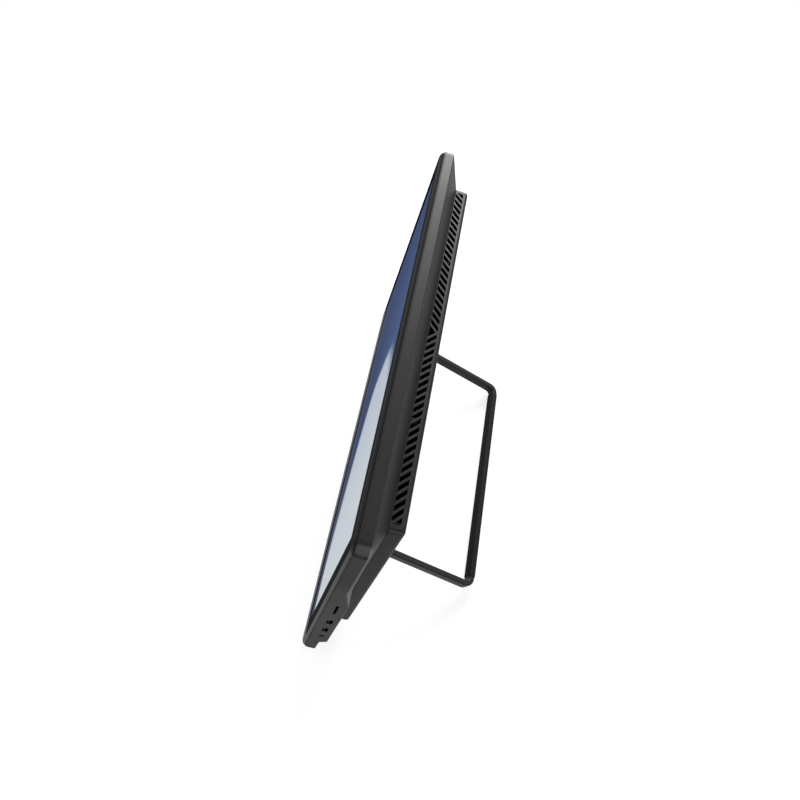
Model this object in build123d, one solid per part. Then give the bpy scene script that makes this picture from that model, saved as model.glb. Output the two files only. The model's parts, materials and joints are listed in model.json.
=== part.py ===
"""All-in-one desktop computer on a folding loop stand, built piece by piece.

Body frame, millimetres: +X to the right as seen from the screen side, +Y from the screen to
the back, +Z up along the screen. Y 0 is the front face and Z 0 the bottom edge of the case.
The finished pieces are leaned back about X and set down on the desk at the very end.
"""
from build123d import *
import math
import os

# Case
width = 490.4
height = 308.0
corner_r = 12.0
wall = 2.2
bezel_depth = 3.4
bezel_face = 1.6
front_edge_r = 7.5
band_edge_r = 1.2
seam_gap = 0.5
seam_depth = 1.0
frame_depth = 15.3
slope_depth = 28.75
rear_depth = 43.2
lean = 11.0

# Rear housing, which stands on the sloped back cover
housing_side_inset = 33.2
housing_top_inset = 22.9
housing_bottom_inset = 24.3
housing_corner_r = 4.2
housing_edge_r = 3.8
housing_wall = 2.5
flange = 14.0

# Exhaust grille in the top of the rear housing
slot_front_margin = 0.8
slot_rear_margin = 5.4
slot_pitch = 8.9
slot_rib = 3.8
slot_slant = 47.0
slot_end_margin = 7.0
grille_wall = 1.4

# Display
view_side_inset = 17.6
view_top_inset = 16.3
view_bottom_inset = 35.7
view_corner_r = 1.0
panel_border = 2.0
panel_thick = 1.5
backlight_thick = 6.5
backlight_chin = 8.0
chassis_thick = 1.0
chassis_side_gap = 4.0
chassis_bottom = 6.0

# Port boss on the right-hand side
boss_depth = 23.5
boss_low = 38.0
boss_low_rear = 47.0
boss_high_rear = 171.0
boss_high = 209.0
boss_reach = 28.0
side_port_y = 14.6
card_slot_y = 13.9
card_slot_z = 159.8
usb_upper_z = 119.3
usb_lower_z = 90.7
headset_z = 66.2
side_board_y = 17.5
board_thick = 1.6

# Connectors
usb_long = 13.2
usb_short = 5.8
usb_deep = 14.0
usb_skin = 0.4
tongue_long = 11.0
tongue_short = 1.9
tongue_offset = 0.8
card_slot_long = 24.6
card_slot_short = 2.6
card_body_long = 28.0
card_body_deep = 27.0
card_body_low = 12.3
headset_r = 2.9
headset_bore_r = 1.8
headset_deep = 14.0
headset_sink = 1.4
port_gap = 0.3
side_port_sink = 0.8
boss_edge_r = 1.6

# Recess for the rear ports
recess_left = -95.0
recess_right = 60.0
recess_top = 72.0
recess_floor = 30.4
port_y = 30.6
port_deep = 14.0
port_plate_thick = 1.2
dc_from_left = 25.0
dc_wide = 12.0
dc_high = 9.0
dc_bore_r = 3.3
dc_pin_r = 0.5
hdmi_from_left = 49.0
hdmi_wide = 15.0
hdmi_high = 5.6
lan_from_left = 83.0
lan_wide = 16.0
lan_high = 9.8
lan_mouth_wide = 11.8
lan_mouth_high = 7.2
lan_mouth_deep = 9.5
rear_usb_from_left = 115.0
rear_usb_pitch = 20.0

# Board tray, mainboard and cooling
tray_y = 24.8
tray_thick = 1.2
tray_gap = 3.8
board_inset = 4.5
standoff_r = 3.0
standoff_inset = 6.0
board_y = 29.0
board_gap = 4.0
chip_size = 22.0
chip_thick = 1.4
plate_size = 42.0
plate_thick = 3.0
cpu_from_pipe = 55.0
pipe_width = 8.0
pipe_thick = 2.5
pipe_turn_r = 12.0
pipe_gap = 10.0
cooling_gap = 3.1
fan_wide = 76.0
fan_tall = 68.0
fan_thick = 11.0
fan_skin = 1.2
fan_foot_gap = 1.0
fan_cavity_r = 31.5
fan_inlet_r = 22.0
rotor_r = 29.5
rotor_hub_r = 13.0
rotor_blades = 17
rotor_blade_thick = 1.0
rotor_end_gap = 0.5
rotor_shaft_r = 1.5
shaft_end_gap = 0.3
shaft_clearance = 0.05
bush_length = 2.4
hub_front_gap = 3.6
fin_count = 17
fin_thick = 0.6
fin_deep = 15.0

# Stand and its hinges
leg_spread = 141.8
leg_width = 7.0
leg_depth = 12.0
leg_length = 126.6
leg_edge_r = 2.0
loop_bend_r = 8.5
sleeve_skin = 0.65
sleeve_end_gap = 2.0
hinge_z = 78.1
hinge_stand_off = 8.0
pin_r = 2.5
pin_clearance = 0.05
ear_thick = 3.0
ear_r = 7.5
washer_thick = 1.0
washer_r = 6.5
side_play = 0.1
bracket_half_base = 16.0
bracket_half_tall = 26.0
bracket_thick = 2.0
pin_head_r = 4.2
pin_head_thick = 2.0
nut_r = 4.4
nut_thick = 3.5

# Feet under the front edge
foot_height = 1.5
foot_front = 7.6
foot_rear = 14.3
foot_length = 50.0
foot_from_side = 36.0

# Buttons on the left-hand side
button_y = 9.8
button_high = 5.0
button_travel = 0.8
button_gap = 0.3
button_flange = 1.2
power_length = 14.0
key_length = 9.0
power_z = 138.0
key_top_z = 118.0
key_pitch = 16.0
switch_height = 2.0
switch_plunger = 0.5
switch_gap = 0.2

# Screws
screw_r = 1.5
screw_head_r = 2.8
screw_head_thick = 1.6
screw_clearance = 0.2
screw_sink = 1.8
screw_drive_long = 3.2
screw_drive_short = 0.7
screw_drive_deep = 0.9
post_r = 4.0
post_inset = 9.0
post_mid_x = 100.0
chassis_post_low = 30.0
chassis_post_drop = 23.0
chassis_post_mid_drop = 118.0
chassis_post_r = 3.4

# Webcam in the top bezel
webcam_r = 2.5
webcam_half = 30.0
webcam_high = 6.0
webcam_thick = 3.0
webcam_lens_front = 0.6
microphone_x = 14.0
microphone_r = 0.6

# Speakers and small openings
speaker_inset = 62.0
speaker_half = 40.0
speaker_low = 9.0
speaker_tall = 19.0
speaker_thick = 5.5
speaker_slots = 16
speaker_slot = 1.6
speaker_slot_pitch = 4.0
intake_from_recess = 48.0
intake_pitch = 7.0
intake_width = 3.0
intake_count = 13
lock_y = 36.0
lock_z = 60.0
lock_short = 3.0
lock_long = 7.0

# Smaller boards, drive and cable
side_board_wide = 44.0
side_board_lap = 8.6
side_board_top_lap = 4.2
side_screw_inset = 6.0
tongue_sink = 1.2
button_board_front = 5.5
button_board_rear = 14.0
button_board_lap = 9.0
drive_wide = 70.0
drive_tall = 100.0
drive_thick = 7.0
drive_lift = 2.0
drive_gap = 11.0
drive_above_bracket = 38.0
antenna_half = 22.0
antenna_tall = 9.0
antenna_drop = 2.7
antenna_thick = 0.8
memory_wide = 67.6
memory_tall = 30.0
memory_thick = 2.0
memory_inset = 10.0
memory_lift = 25.0
socket_wide = 72.0
socket_deep = 7.0
socket_thick = 3.0
wlan_wide = 22.0
wlan_tall = 30.0
wlan_thick = 2.5
wlan_inset = 13.0
wlan_drop = 7.0
cell_r = 10.0
cell_thick = 3.2
cell_gap = 6.0
cable_thick = 0.6
cable_width = 24.0
cable_gap = 2.4
cable_lift = 12.0
cable_slot = 1.5
cable_lap = 6.0

# Derived places: case
side_x = width / 2
back_front = bezel_depth + seam_gap
housing_half = side_x - housing_side_inset
housing_low = housing_bottom_inset
housing_high = height - housing_top_inset
housing_mid = (housing_low + housing_high) / 2
housing_height = housing_high - housing_low
view_half = side_x - view_side_inset
view_high = height - view_top_inset
view_low = view_bottom_inset
panel_y = bezel_face
backlight_y = panel_y + panel_thick
chassis_y = backlight_y + backlight_thick
chassis_back = chassis_y + chassis_thick
panel_half = view_half + panel_border
panel_high = view_high + panel_border
panel_low = view_low - panel_border
chassis_half = side_x - wall - chassis_side_gap
webcam_z = panel_high + port_gap + webcam_high / 2
post_x = housing_half - post_inset
post_high = housing_high - post_inset
post_low = housing_low + post_inset
rear_posts = [(-post_x, post_low), (post_x, post_low), (-post_x, post_high), (post_x, post_high),
              (-post_mid_x, post_high), (post_mid_x, post_high)]
chassis_post_x = (panel_half + side_x - wall) / 2
chassis_posts = [(side * chassis_post_x, z) for side in (-1, 1)
                 for z in (chassis_post_low, height - chassis_post_mid_drop, height - chassis_post_drop)]
speaker_x = housing_half - speaker_inset
foot_x = side_x - foot_from_side
antenna_x = (post_mid_x + post_x) / 2
antenna_high = panel_high - antenna_drop

# Derived places: hinges, tray, boards and cooling
pivot_y = rear_depth + hinge_stand_off
ear_inner = leg_width / 2 + side_play + washer_thick
ear_outer = ear_inner + ear_thick
bracket_low = hinge_z - bracket_half_tall
bracket_high = hinge_z + bracket_half_tall
tray_left = recess_left
tray_right = leg_spread - bracket_half_base - tray_gap
tray_top = tray_y + tray_thick
tray_low = recess_top + board_gap
board_left = tray_left + board_inset
board_right = tray_right - board_inset
board_low = tray_low + tray_thick
board_back = board_y + board_thick
pipe_x = tray_right - pipe_width / 2 - pipe_turn_r - board_inset
fin_high = post_high - post_r - cooling_gap
fan_high = fin_high - fin_deep
fan_low = fan_high - fan_tall
tray_high = fan_high + pipe_width
fan_right = pipe_x - pipe_width / 2 - pipe_gap
fan_left = fan_right - fan_wide
board_high = fan_low - board_gap
plate_y = board_back + chip_thick
pipe_y = plate_y + plate_thick
fan_y = tray_top
fan_back = fan_y + fan_thick
fan_x = (fan_left + fan_right) / 2
fan_z = fan_low + fan_skin + fan_cavity_r + fan_foot_gap
cpu_x = pipe_x - cpu_from_pipe
cpu_z = (board_low + board_high) / 2
memory_x = board_left + memory_inset + memory_wide / 2
memory_z = board_low + memory_lift + memory_tall / 2
wlan_x = board_left + wlan_inset + wlan_wide / 2
wlan_z = board_high - wlan_drop - wlan_tall / 2
cell_x = memory_x + socket_wide / 2 + cell_gap + cell_r
cable_x = tray_left - cable_gap - cable_thick
cable_z = board_low + cable_lift
drive_right = tray_left - drive_gap
drive_left = drive_right - drive_wide
drive_low = bracket_high + drive_above_bracket
drive_high = drive_low + drive_tall

# Derived places: ports and buttons
side_board_left = side_x - side_board_wide
side_board_low = headset_z - headset_r - side_board_lap
side_board_high = card_slot_z + card_body_long / 2 + side_board_top_lap
dc_x = recess_left + dc_from_left
hdmi_x = recess_left + hdmi_from_left
lan_x = recess_left + lan_from_left
rear_usb_x = recess_left + rear_usb_from_left
rear_ports = [(hdmi_x, hdmi_wide, hdmi_high), (lan_x, lan_wide, lan_high), (dc_x, dc_wide, dc_high)] + [
    (rear_usb_x + rear_usb_pitch * index, usb_long, usb_short) for index in (0, 1)]
key_rows = [("power_button", power_z, power_length)] + [
    (name, key_top_z - key_pitch * row, key_length)
    for row, name in enumerate(("brightness_up_button", "brightness_down_button", "screen_off_button"))]
button_back = wall - side_x + button_gap + button_flange
switch_x = button_back + button_travel + switch_gap + switch_plunger
button_board_x = switch_x + switch_height
button_board_low = min(z - length / 2 for name, z, length in key_rows) - button_board_lap
button_board_high = max(z + length / 2 for name, z, length in key_rows) + button_board_lap


# ---------------------------------------------------------------- shapes in the body frame
def block(x0, x1, y0, y1, z0, z1):
    """A box between two corners."""
    middle = Pos((x0 + x1) / 2, (y0 + y1) / 2, (z0 + z1) / 2)
    return middle * Box(x1 - x0, y1 - y0, z1 - z0)


def upright(y):
    """A sketch plane across the body at depth y, whose normal points to the front."""
    return Plane.XZ.offset(-y)


def slab(half_width, z0, z1, radius, y0, y1):
    """A rounded plate, centred in X, from depth y0 back to y1."""
    outline = Pos(0, (z0 + z1) / 2) * RectangleRounded(2 * half_width, z1 - z0, radius)
    return extrude(upright(y1) * outline, amount=y1 - y0)


def rod_x(radius, x0, x1, y, z):
    """A cylinder along X."""
    return Pos((x0 + x1) / 2, y, z) * Rot(0, 90, 0) * Cylinder(radius, x1 - x0)


def rod_y(radius, y0, y1, x, z):
    """A cylinder along Y."""
    return Pos(x, (y0 + y1) / 2, z) * Rot(90, 0, 0) * Cylinder(radius, y1 - y0)


def profile_x(points, x0, x1):
    """A prism along X from an outline of (y, z) points."""
    outline = Plane.YZ.offset(x0) * make_face(Polyline(*points, close=True))
    return extrude(outline, amount=x1 - x0, dir=(1, 0, 0))


def group(shapes):
    """Several separate solids of one node."""
    return Compound(children=[solid for shape in shapes for solid in shape.solids()])


def screws(places, head_front, length):
    """Cross-head screws along Y, each with its head resting at depth head_front."""
    made = []
    half_long, half_short = screw_drive_long / 2, screw_drive_short / 2
    head_back = head_front + screw_head_thick
    for x, z in places:
        screw = rod_y(screw_r, head_front - length, head_front, x, z)
        screw += rod_y(screw_head_r, head_front, head_back, x, z)
        for half_x, half_z in ((half_long, half_short), (half_short, half_long)):
            screw -= block(x - half_x, x + half_x, head_back - screw_drive_deep, head_back,
                           z - half_z, z + half_z)
        made.append(screw)
    return group(made)


def holes(places, radius, y0, y1):
    """Round holes along Y at the given places."""
    return Part() + [rod_y(radius, y0, y1, x, z) for x, z in places]


# ---------------------------------------------------------------- case
def rounded_case(inset, front, y0, y1):
    """The case between depths y0 and y1, drawn in by inset, with its rounded front edge."""
    whole = slab(side_x - inset, inset, height - inset, corner_r - inset, front, frame_depth)
    whole = fillet(whole.faces().sort_by(Axis.Y)[0].edges(), front_edge_r - inset)
    return whole & block(-side_x, side_x, y0, y1, 0, height)


def frame_shape(inset, front, y0, y1, y2):
    """The edge band and the slope behind it, drawn in by inset."""
    band = rounded_case(inset, front, y0, y1)
    wide = Pos(0, height / 2) * RectangleRounded(width - 2 * inset, height - 2 * inset, corner_r - inset)
    narrow = Pos(0, housing_mid) * RectangleRounded(
        2 * (housing_half - inset), housing_height - 2 * inset, housing_corner_r)
    return band + loft([upright(y1) * wide, upright(y2) * narrow])


def boss_shape(inset):
    """The raised block behind the side ports, drawn in by inset."""
    root = frame_depth - wall - inset
    rise = (boss_low_rear - boss_low) / (boss_depth - frame_depth)
    fall = (boss_high - boss_high_rear) / (boss_depth - frame_depth)
    back = boss_depth - inset
    outline = [
        (root, boss_low + inset - (frame_depth - root) * rise),
        (back, boss_low_rear + inset),
        (back, boss_high_rear - inset),
        (root, boss_high - inset + (frame_depth - root) * fall)]
    return profile_x(outline, side_x - boss_reach, side_x - inset)


def front_bezel():
    shell = rounded_case(0, 0, 0, bezel_depth)
    shell -= rounded_case(wall, bezel_face, bezel_face, bezel_depth)
    shell -= slab(view_half, view_low, view_high, view_corner_r, 0, bezel_face)
    shell += [rod_y(chassis_post_r, bezel_face, chassis_y, x, z) for x, z in chassis_posts]
    shell -= holes(chassis_posts, screw_r, bezel_face, chassis_y)
    lens, microphones = rod_y(webcam_r, 0, bezel_face, 0, webcam_z), (-microphone_x, microphone_x)
    return shell - lens - holes([(x, webcam_z) for x in microphones], microphone_r, 0, bezel_face)


def back_cover():
    shell = frame_shape(0, 0, back_front, frame_depth, slope_depth)
    shell = fillet([edge for edge in shell.edges() if edge.bounding_box().size.Y < seam_depth
                    and abs(edge.center().Y - frame_depth) < seam_depth], band_edge_r)
    boss = boss_shape(0)
    boss = fillet([edge for edge in boss.edges() if edge.center().X > side_x - seam_depth
                   or edge.center().Y > boss_depth - seam_depth], boss_edge_r)
    shell += boss
    shell -= frame_shape(wall, bezel_face, back_front, frame_depth - wall, slope_depth - wall) + boss_shape(wall)
    shell -= block(flange - housing_half, housing_half - flange, frame_depth, slope_depth,
                   housing_low + flange, housing_high - flange)
    lip = rounded_case(seam_depth, seam_depth, bezel_depth, back_front)
    shell += lip - rounded_case(wall, bezel_face, bezel_depth, back_front)
    shell -= holes(rear_posts, screw_r + screw_clearance, slope_depth - wall, slope_depth)
    shell -= side_port_openings()
    shell -= [button_opening(z, length) for name, z, length in key_rows]
    for x in (-speaker_x, speaker_x):
        for row in range(speaker_slots):
            slot_x = x + (row - (speaker_slots - 1) / 2) * speaker_slot_pitch
            shell -= block(slot_x, slot_x + speaker_slot, chassis_back, frame_depth - wall, 0, wall)
    for z in (button_board_low, button_board_high):
        shell += block(wall - side_x, button_board_x + board_thick, button_board_front,
                       button_board_rear, z - board_thick, z + board_thick)
    return shell - button_board()


def side_port_openings():
    """The openings of the card slot, the two sockets and the headset jack."""
    through = (side_x - wall, side_x)
    cut = block(*through, card_slot_y - card_slot_short / 2, card_slot_y + card_slot_short / 2,
                card_slot_z - card_slot_long / 2, card_slot_z + card_slot_long / 2)
    for z in (usb_upper_z, usb_lower_z):
        cut += block(*through, side_port_y - usb_short / 2, side_port_y + usb_short / 2,
                     z - usb_long / 2, z + usb_long / 2)
    return cut + rod_x(headset_r, *through, side_port_y, headset_z)


def button_opening(z, length):
    half = length / 2 + button_gap
    high = button_high / 2 + button_gap
    return block(-side_x, wall - side_x, button_y - high, button_y + high, z - half, z + half)


def rear_cover():
    outer = slab(housing_half, housing_low, housing_high, housing_corner_r, slope_depth, rear_depth)
    outer = fillet(outer.faces().sort_by(Axis.Y)[-1].edges(), housing_edge_r)
    inner = slab(housing_half - housing_wall, housing_low + housing_wall, housing_high - housing_wall,
                 housing_corner_r - housing_wall, slope_depth, rear_depth - housing_wall)
    inner -= block(recess_left - housing_wall, recess_right + housing_wall, slope_depth, rear_depth,
                   housing_low, recess_top)
    recess = block(recess_left, recess_right, recess_floor, rear_depth, housing_low, recess_top)
    shell = outer - inner - recess
    shell += [rod_y(post_r, slope_depth, rear_depth - housing_wall, x, z) for x, z in rear_posts]
    shell -= holes(rear_posts, screw_r + screw_clearance, slope_depth, rear_depth)
    shell -= holes(rear_posts, screw_head_r + screw_clearance, rear_depth - screw_sink, rear_depth)
    shell -= grille_relief()
    shell -= grille_slots()
    for x in (-leg_spread, leg_spread):
        half_x, half_z = ear_outer + port_gap, ear_r + port_gap
        shell -= block(x - half_x, x + half_x, rear_depth - housing_wall, rear_depth,
                       hinge_z - half_z, hinge_z + half_z)
    shell -= block(-housing_half, housing_wall - housing_half, lock_y - lock_short / 2,
                   lock_y + lock_short / 2, lock_z - lock_long / 2, lock_z + lock_long / 2)
    return shell - intake_slots()


def grille_relief():
    """A shallow step inside the top wall, so that the grille's bars are thin."""
    reach = housing_half - slot_end_margin
    return block(-reach, reach, slope_depth + slot_front_margin, rear_depth - slot_rear_margin,
                 housing_high - housing_wall, housing_high - grille_wall)


def grille_slots():
    """Slanted slots in two mirrored runs that meet in a V behind the middle."""
    y0 = slope_depth + slot_front_margin
    y1 = rear_depth - slot_rear_margin
    run = (y1 - y0) * math.tan(math.radians(slot_slant))
    reach = housing_half - slot_end_margin
    clip = Pos(0, (y0 + y1) / 2) * Rectangle(2 * reach, y1 - y0)
    opening = slot_pitch - slot_rib
    apex = y1 - slot_rib / 2 / math.tan(math.radians(slot_slant))
    inner_foot = run - slot_rib / 2
    shapes = [make_face(Polyline((-inner_foot, y0), (inner_foot, y0), (0, apex), close=True))]
    for index in range(math.floor((reach - slot_rib) / slot_pitch) + 1):
        left = slot_rib / 2 + index * slot_pitch
        for side in (-1, 1):
            corners = [(left + run, y0), (left + run + opening, y0), (left + opening, y1), (left, y1)]
            slot = make_face(Polyline(*[(side * x, y) for x, y in corners], close=True))
            shapes += (slot & clip).faces()
    level = Plane.XY.offset(housing_high - housing_wall)
    return Part() + [extrude(level * face, amount=housing_wall, dir=(0, 0, 1)) for face in shapes]


def intake_slots():
    """Straight air slots in the bottom of the rear housing, either side of the port recess."""
    cut = Part()
    for side in (-1, 1):
        for row in range(intake_count):
            x = side * (recess_right + intake_from_recess + row * intake_pitch)
            cut += block(x - intake_width / 2, x + intake_width / 2, slope_depth + slot_front_margin,
                         rear_depth - slot_rear_margin, housing_low, housing_low + housing_wall)
    return cut


# ---------------------------------------------------------------- display
def lcd_panel():
    return block(-panel_half, panel_half, panel_y, backlight_y, panel_low, panel_high)


def backlight_unit():
    return block(-panel_half, panel_half, backlight_y, chassis_y, panel_low - backlight_chin, panel_high)


def panel_chassis():
    plate = block(-chassis_half, chassis_half, chassis_y, chassis_back, chassis_bottom, panel_high)
    plate += [rod_y(post_r, chassis_back, slope_depth - wall, x, z) for x, z in rear_posts]
    plate += [rod_y(standoff_r, chassis_back, side_board_y, x, z) for x, z in side_board_screws()]
    plate -= holes(rear_posts, screw_r, chassis_y, slope_depth - wall)
    plate -= holes(side_board_screws(), screw_r, chassis_y, side_board_y)
    plate -= holes(chassis_posts, screw_r, chassis_y, chassis_back)
    plate -= holes(hinge_screw_places(), screw_r, chassis_y, chassis_back)
    plate -= block(-chassis_half, -panel_half, chassis_y, chassis_back,
                   button_board_low - 2 * board_thick, button_board_high + 2 * board_thick)
    return plate - block(cable_x - cable_slot, cable_x + cable_thick + cable_slot, chassis_y,
                         chassis_back, cable_z - cable_slot, cable_z + cable_width + cable_slot)


def display_cable():
    riser = block(cable_x, cable_x + cable_thick, chassis_y, board_back + cable_thick,
                  cable_z, cable_z + cable_width)
    return riser + block(cable_x, board_left + cable_lap, board_back, board_back + cable_thick,
                         cable_z, cable_z + cable_width)


def webcam_module():
    board = block(-webcam_half, webcam_half, bezel_face, bezel_face + webcam_thick,
                  webcam_z - webcam_high / 2, webcam_z + webcam_high / 2)
    return board + rod_y(webcam_r - port_gap, webcam_lens_front, bezel_face, 0, webcam_z)


def webcam_window():
    return rod_y(webcam_r, 0, webcam_lens_front, 0, webcam_z)


# ---------------------------------------------------------------- side ports
def side_board_screws():
    x = side_board_left + side_screw_inset
    return [(x, side_board_low + post_r), (x, side_board_high - post_r)]


def side_io_board():
    board = block(side_board_left, side_x - wall - port_gap, side_board_y, side_board_y + board_thick,
                  side_board_low, side_board_high)
    return board - holes(side_board_screws(), screw_r, side_board_y, side_board_y + board_thick)


def side_usb_shells():
    """Sheet-metal sleeves of the two side sockets."""
    sleeves = []
    for z in (usb_upper_z, usb_lower_z):
        sleeve = block(side_x - usb_deep, side_x - side_port_sink, side_port_y - usb_short / 2,
                       side_port_y + usb_short / 2, z - usb_long / 2, z + usb_long / 2)
        sleeves.append(sleeve - block(
            side_x - usb_deep + usb_skin, side_x, side_port_y - usb_short / 2 + usb_skin,
            side_port_y + usb_short / 2 - usb_skin, z - usb_long / 2 + usb_skin, z + usb_long / 2 - usb_skin))
    return group(sleeves)


def side_usb_tongues():
    y = side_port_y - tongue_offset
    return group([
        block(side_x - usb_deep + usb_skin, side_x - tongue_sink, y - tongue_short / 2,
              y + tongue_short / 2, z - tongue_long / 2, z + tongue_long / 2)
        for z in (usb_upper_z, usb_lower_z)])


def sd_card_socket():
    body = block(side_x - card_body_deep, side_x - wall, card_body_low, side_board_y,
                 card_slot_z - card_body_long / 2, card_slot_z + card_body_long / 2)
    return body - block(side_x - card_body_deep + wall, side_x - wall, card_slot_y - card_slot_short / 2,
                        card_slot_y + card_slot_short / 2, card_slot_z - card_slot_long / 2,
                        card_slot_z + card_slot_long / 2)


def headset_jack():
    body = rod_x(headset_r, side_x - wall, side_x - headset_sink, side_port_y, headset_z)
    body += block(side_x - headset_deep, side_x - wall, side_port_y - headset_r, side_board_y,
                  headset_z - headset_r, headset_z + headset_r)
    return body - rod_x(headset_bore_r, side_x - headset_deep + wall, side_x, side_port_y, headset_z)


# ---------------------------------------------------------------- rear ports, mouths facing down
def port_body(x, wide, high):
    return block(x - wide / 2, x + wide / 2, port_y, port_y + high, recess_top, recess_top + port_deep)


def port_mouth(x, wide, high):
    """The open inside of a sheet-metal socket."""
    return block(x - wide / 2 + usb_skin, x + wide / 2 - usb_skin, port_y + usb_skin,
                 port_y + high - usb_skin, recess_top, recess_top + port_deep - usb_skin)


def port_tongue(x, y, long):
    return block(x - long / 2, x + long / 2, y - tongue_short / 2, y + tongue_short / 2,
                 recess_top + tongue_sink, recess_top + port_deep - usb_skin)


def port_plate():
    """Sheet-metal plate round the rear ports, the ceiling of their recess."""
    plate = block(recess_left, recess_right, slope_depth, rear_depth - housing_wall, recess_top,
                  recess_top + port_plate_thick)
    return plate - [port_body(x, wide, high) for x, wide, high in rear_ports]


def hdmi_port():
    return (port_body(hdmi_x, hdmi_wide, hdmi_high) - port_mouth(hdmi_x, hdmi_wide, hdmi_high)
            + port_tongue(hdmi_x, port_y + hdmi_high / 2, tongue_long))


def lan_port():
    middle = port_y + lan_high / 2
    mouth = block(lan_x - lan_mouth_wide / 2, lan_x + lan_mouth_wide / 2, middle - lan_mouth_high / 2,
                  middle + lan_mouth_high / 2, recess_top, recess_top + lan_mouth_deep)
    return port_body(lan_x, lan_wide, lan_high) - mouth


def dc_inlet():
    """Round power socket with a centre pin."""
    y = port_y + dc_high / 2
    bore = Pos(dc_x, y, recess_top + port_deep / 2 - wall) * Cylinder(dc_bore_r, port_deep)
    pin = Pos(dc_x, y, recess_top + port_deep / 2) * Cylinder(dc_pin_r, port_deep - 2 * tongue_sink)
    return port_body(dc_x, dc_wide, dc_high) - bore + pin


def rear_usb_ports():
    return group([
        port_body(x, usb_long, usb_short) - port_mouth(x, usb_long, usb_short)
        + port_tongue(x, port_y + usb_short / 2 + tongue_offset, tongue_long)
        for x in (rear_usb_x, rear_usb_x + rear_usb_pitch)])


# ---------------------------------------------------------------- electronics
def tray_standoffs():
    return [(x, z) for x in (board_left + standoff_inset, board_right - standoff_inset)
            for z in (board_low + standoff_inset, board_high - standoff_inset)]


def board_tray():
    """Raised steel table over the chassis that carries the mainboard and the fan."""
    top = block(tray_left, tray_right, tray_y, tray_top, tray_low, tray_high)
    for x in (tray_left, tray_right - tray_thick):
        top += block(x, x + tray_thick, chassis_back, tray_y, tray_low, tray_high)
    top += [rod_y(standoff_r, tray_top, board_y, x, z) for x, z in tray_standoffs()]
    return top - holes(tray_standoffs(), screw_r, tray_y, board_y)


def mainboard():
    board = block(board_left, board_right, board_y, board_back, board_low, board_high)
    board -= holes(tray_standoffs(), screw_r, board_y, board_back)
    return board - [port_body(x, wide, high) for x, wide, high in rear_ports]


def on_board(x, z, wide, high, y0, thick):
    return block(x - wide / 2, x + wide / 2, y0, y0 + thick, z - high / 2, z + high / 2)


def memory_socket():
    return on_board(memory_x, memory_z - memory_tall / 2, socket_wide, socket_deep, board_back, socket_thick)


def memory_module():
    return on_board(memory_x, memory_z, memory_wide, memory_tall, board_back + socket_thick, memory_thick)


def heat_pipe():
    """Flattened pipe from the cold plate, round the fan, to the fins."""
    fin_z = fan_high + fin_deep / 2
    route = FilletPolyline((cpu_x - plate_size / 2, cpu_z), (pipe_x, cpu_z), (pipe_x, fin_z),
                           (fan_left + fan_skin, fin_z), radius=pipe_turn_r)
    return extrude(upright(pipe_y + pipe_thick) * trace(route, pipe_width), amount=pipe_thick)


def heat_sink():
    """Thin fins at the fan's outlet, joined by a base strip."""
    left, right = fan_left + fan_skin, fan_right - fan_skin
    sink = block(left, right, pipe_y - fin_thick, pipe_y, fan_high, fan_high + fin_deep)
    step = (right - left - fin_thick) / (fin_count - 1)
    return sink + [
        block(left + index * step, left + index * step + fin_thick, fan_y + fan_skin, pipe_y,
              fan_high, fan_high + fin_deep) for index in range(fin_count)]


def fan_housing():
    """Blower case, open to the back at the inlet and upwards at the outlet."""
    case = block(fan_left, fan_right, fan_y, fan_back, fan_low, fan_high)
    inner0, inner1 = fan_y + fan_skin, fan_back - fan_skin
    case -= rod_y(fan_cavity_r, inner0, inner1, fan_x, fan_z)
    case -= block(fan_x - fan_cavity_r, fan_x + fan_cavity_r, inner0, inner1, fan_z, fan_high)
    case -= rod_y(fan_inlet_r, inner1, fan_back, fan_x, fan_z)
    case += rod_y(2 * rotor_shaft_r, inner0, inner0 + bush_length, fan_x, fan_z)
    return case - rod_y(rotor_shaft_r + shaft_clearance, inner0, inner0 + bush_length, fan_x, fan_z)


def fan_rotor():
    front = fan_y + fan_skin + hub_front_gap
    back = fan_back - fan_skin - rotor_end_gap
    hub = rod_y(rotor_hub_r, front, back, fan_x, fan_z)
    shaft = rod_y(rotor_shaft_r, fan_y + fan_skin + shaft_end_gap, front, fan_x, fan_z)
    blade = block(rotor_hub_r / 2, rotor_r, front, back, -rotor_blade_thick / 2, rotor_blade_thick / 2)
    blades = [Pos(fan_x, 0, fan_z) * Rot(0, index * 360 / rotor_blades, 0) * blade
              for index in range(rotor_blades)]
    return hub + shaft + blades


def hard_drive():
    y0 = chassis_back + drive_lift
    return block(drive_left, drive_right, y0, y0 + drive_thick, drive_low, drive_high)


def drive_bracket():
    """Two steel rails under the drive with lips up its long sides."""
    rails = []
    for side, x in ((-1, drive_left), (1, drive_right)):
        rail = block(min(x, x - side * post_r), max(x, x - side * post_r), chassis_back,
                     chassis_back + drive_lift, drive_low, drive_high)
        lip = block(min(x, x + side * tray_thick), max(x, x + side * tray_thick), chassis_back,
                    chassis_back + drive_lift + drive_thick, drive_low, drive_high)
        rails.append(rail + lip)
    return group(rails)


def speaker(side):
    x = side * speaker_x
    return block(x - speaker_half, x + speaker_half, chassis_back, chassis_back + speaker_thick,
                 speaker_low, speaker_low + speaker_tall)


def wlan_antennas():
    return group([
        block(x - antenna_half, x + antenna_half, chassis_back, chassis_back + antenna_thick,
              antenna_high - antenna_tall, antenna_high) for x in (-antenna_x, antenna_x)])


# ---------------------------------------------------------------- buttons
def button_board():
    return block(button_board_x, button_board_x + board_thick, button_board_front, button_board_rear,
                 button_board_low, button_board_high)


def tact_switches():
    """Four small switches on the button board, one behind each key."""
    half = button_high / 2
    return group([
        block(switch_x, button_board_x, button_y - half, button_y + half, z - half, z + half)
        + rod_x(half / 2, switch_x - switch_plunger, switch_x, button_y, z)
        for name, z, length in key_rows])


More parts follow.
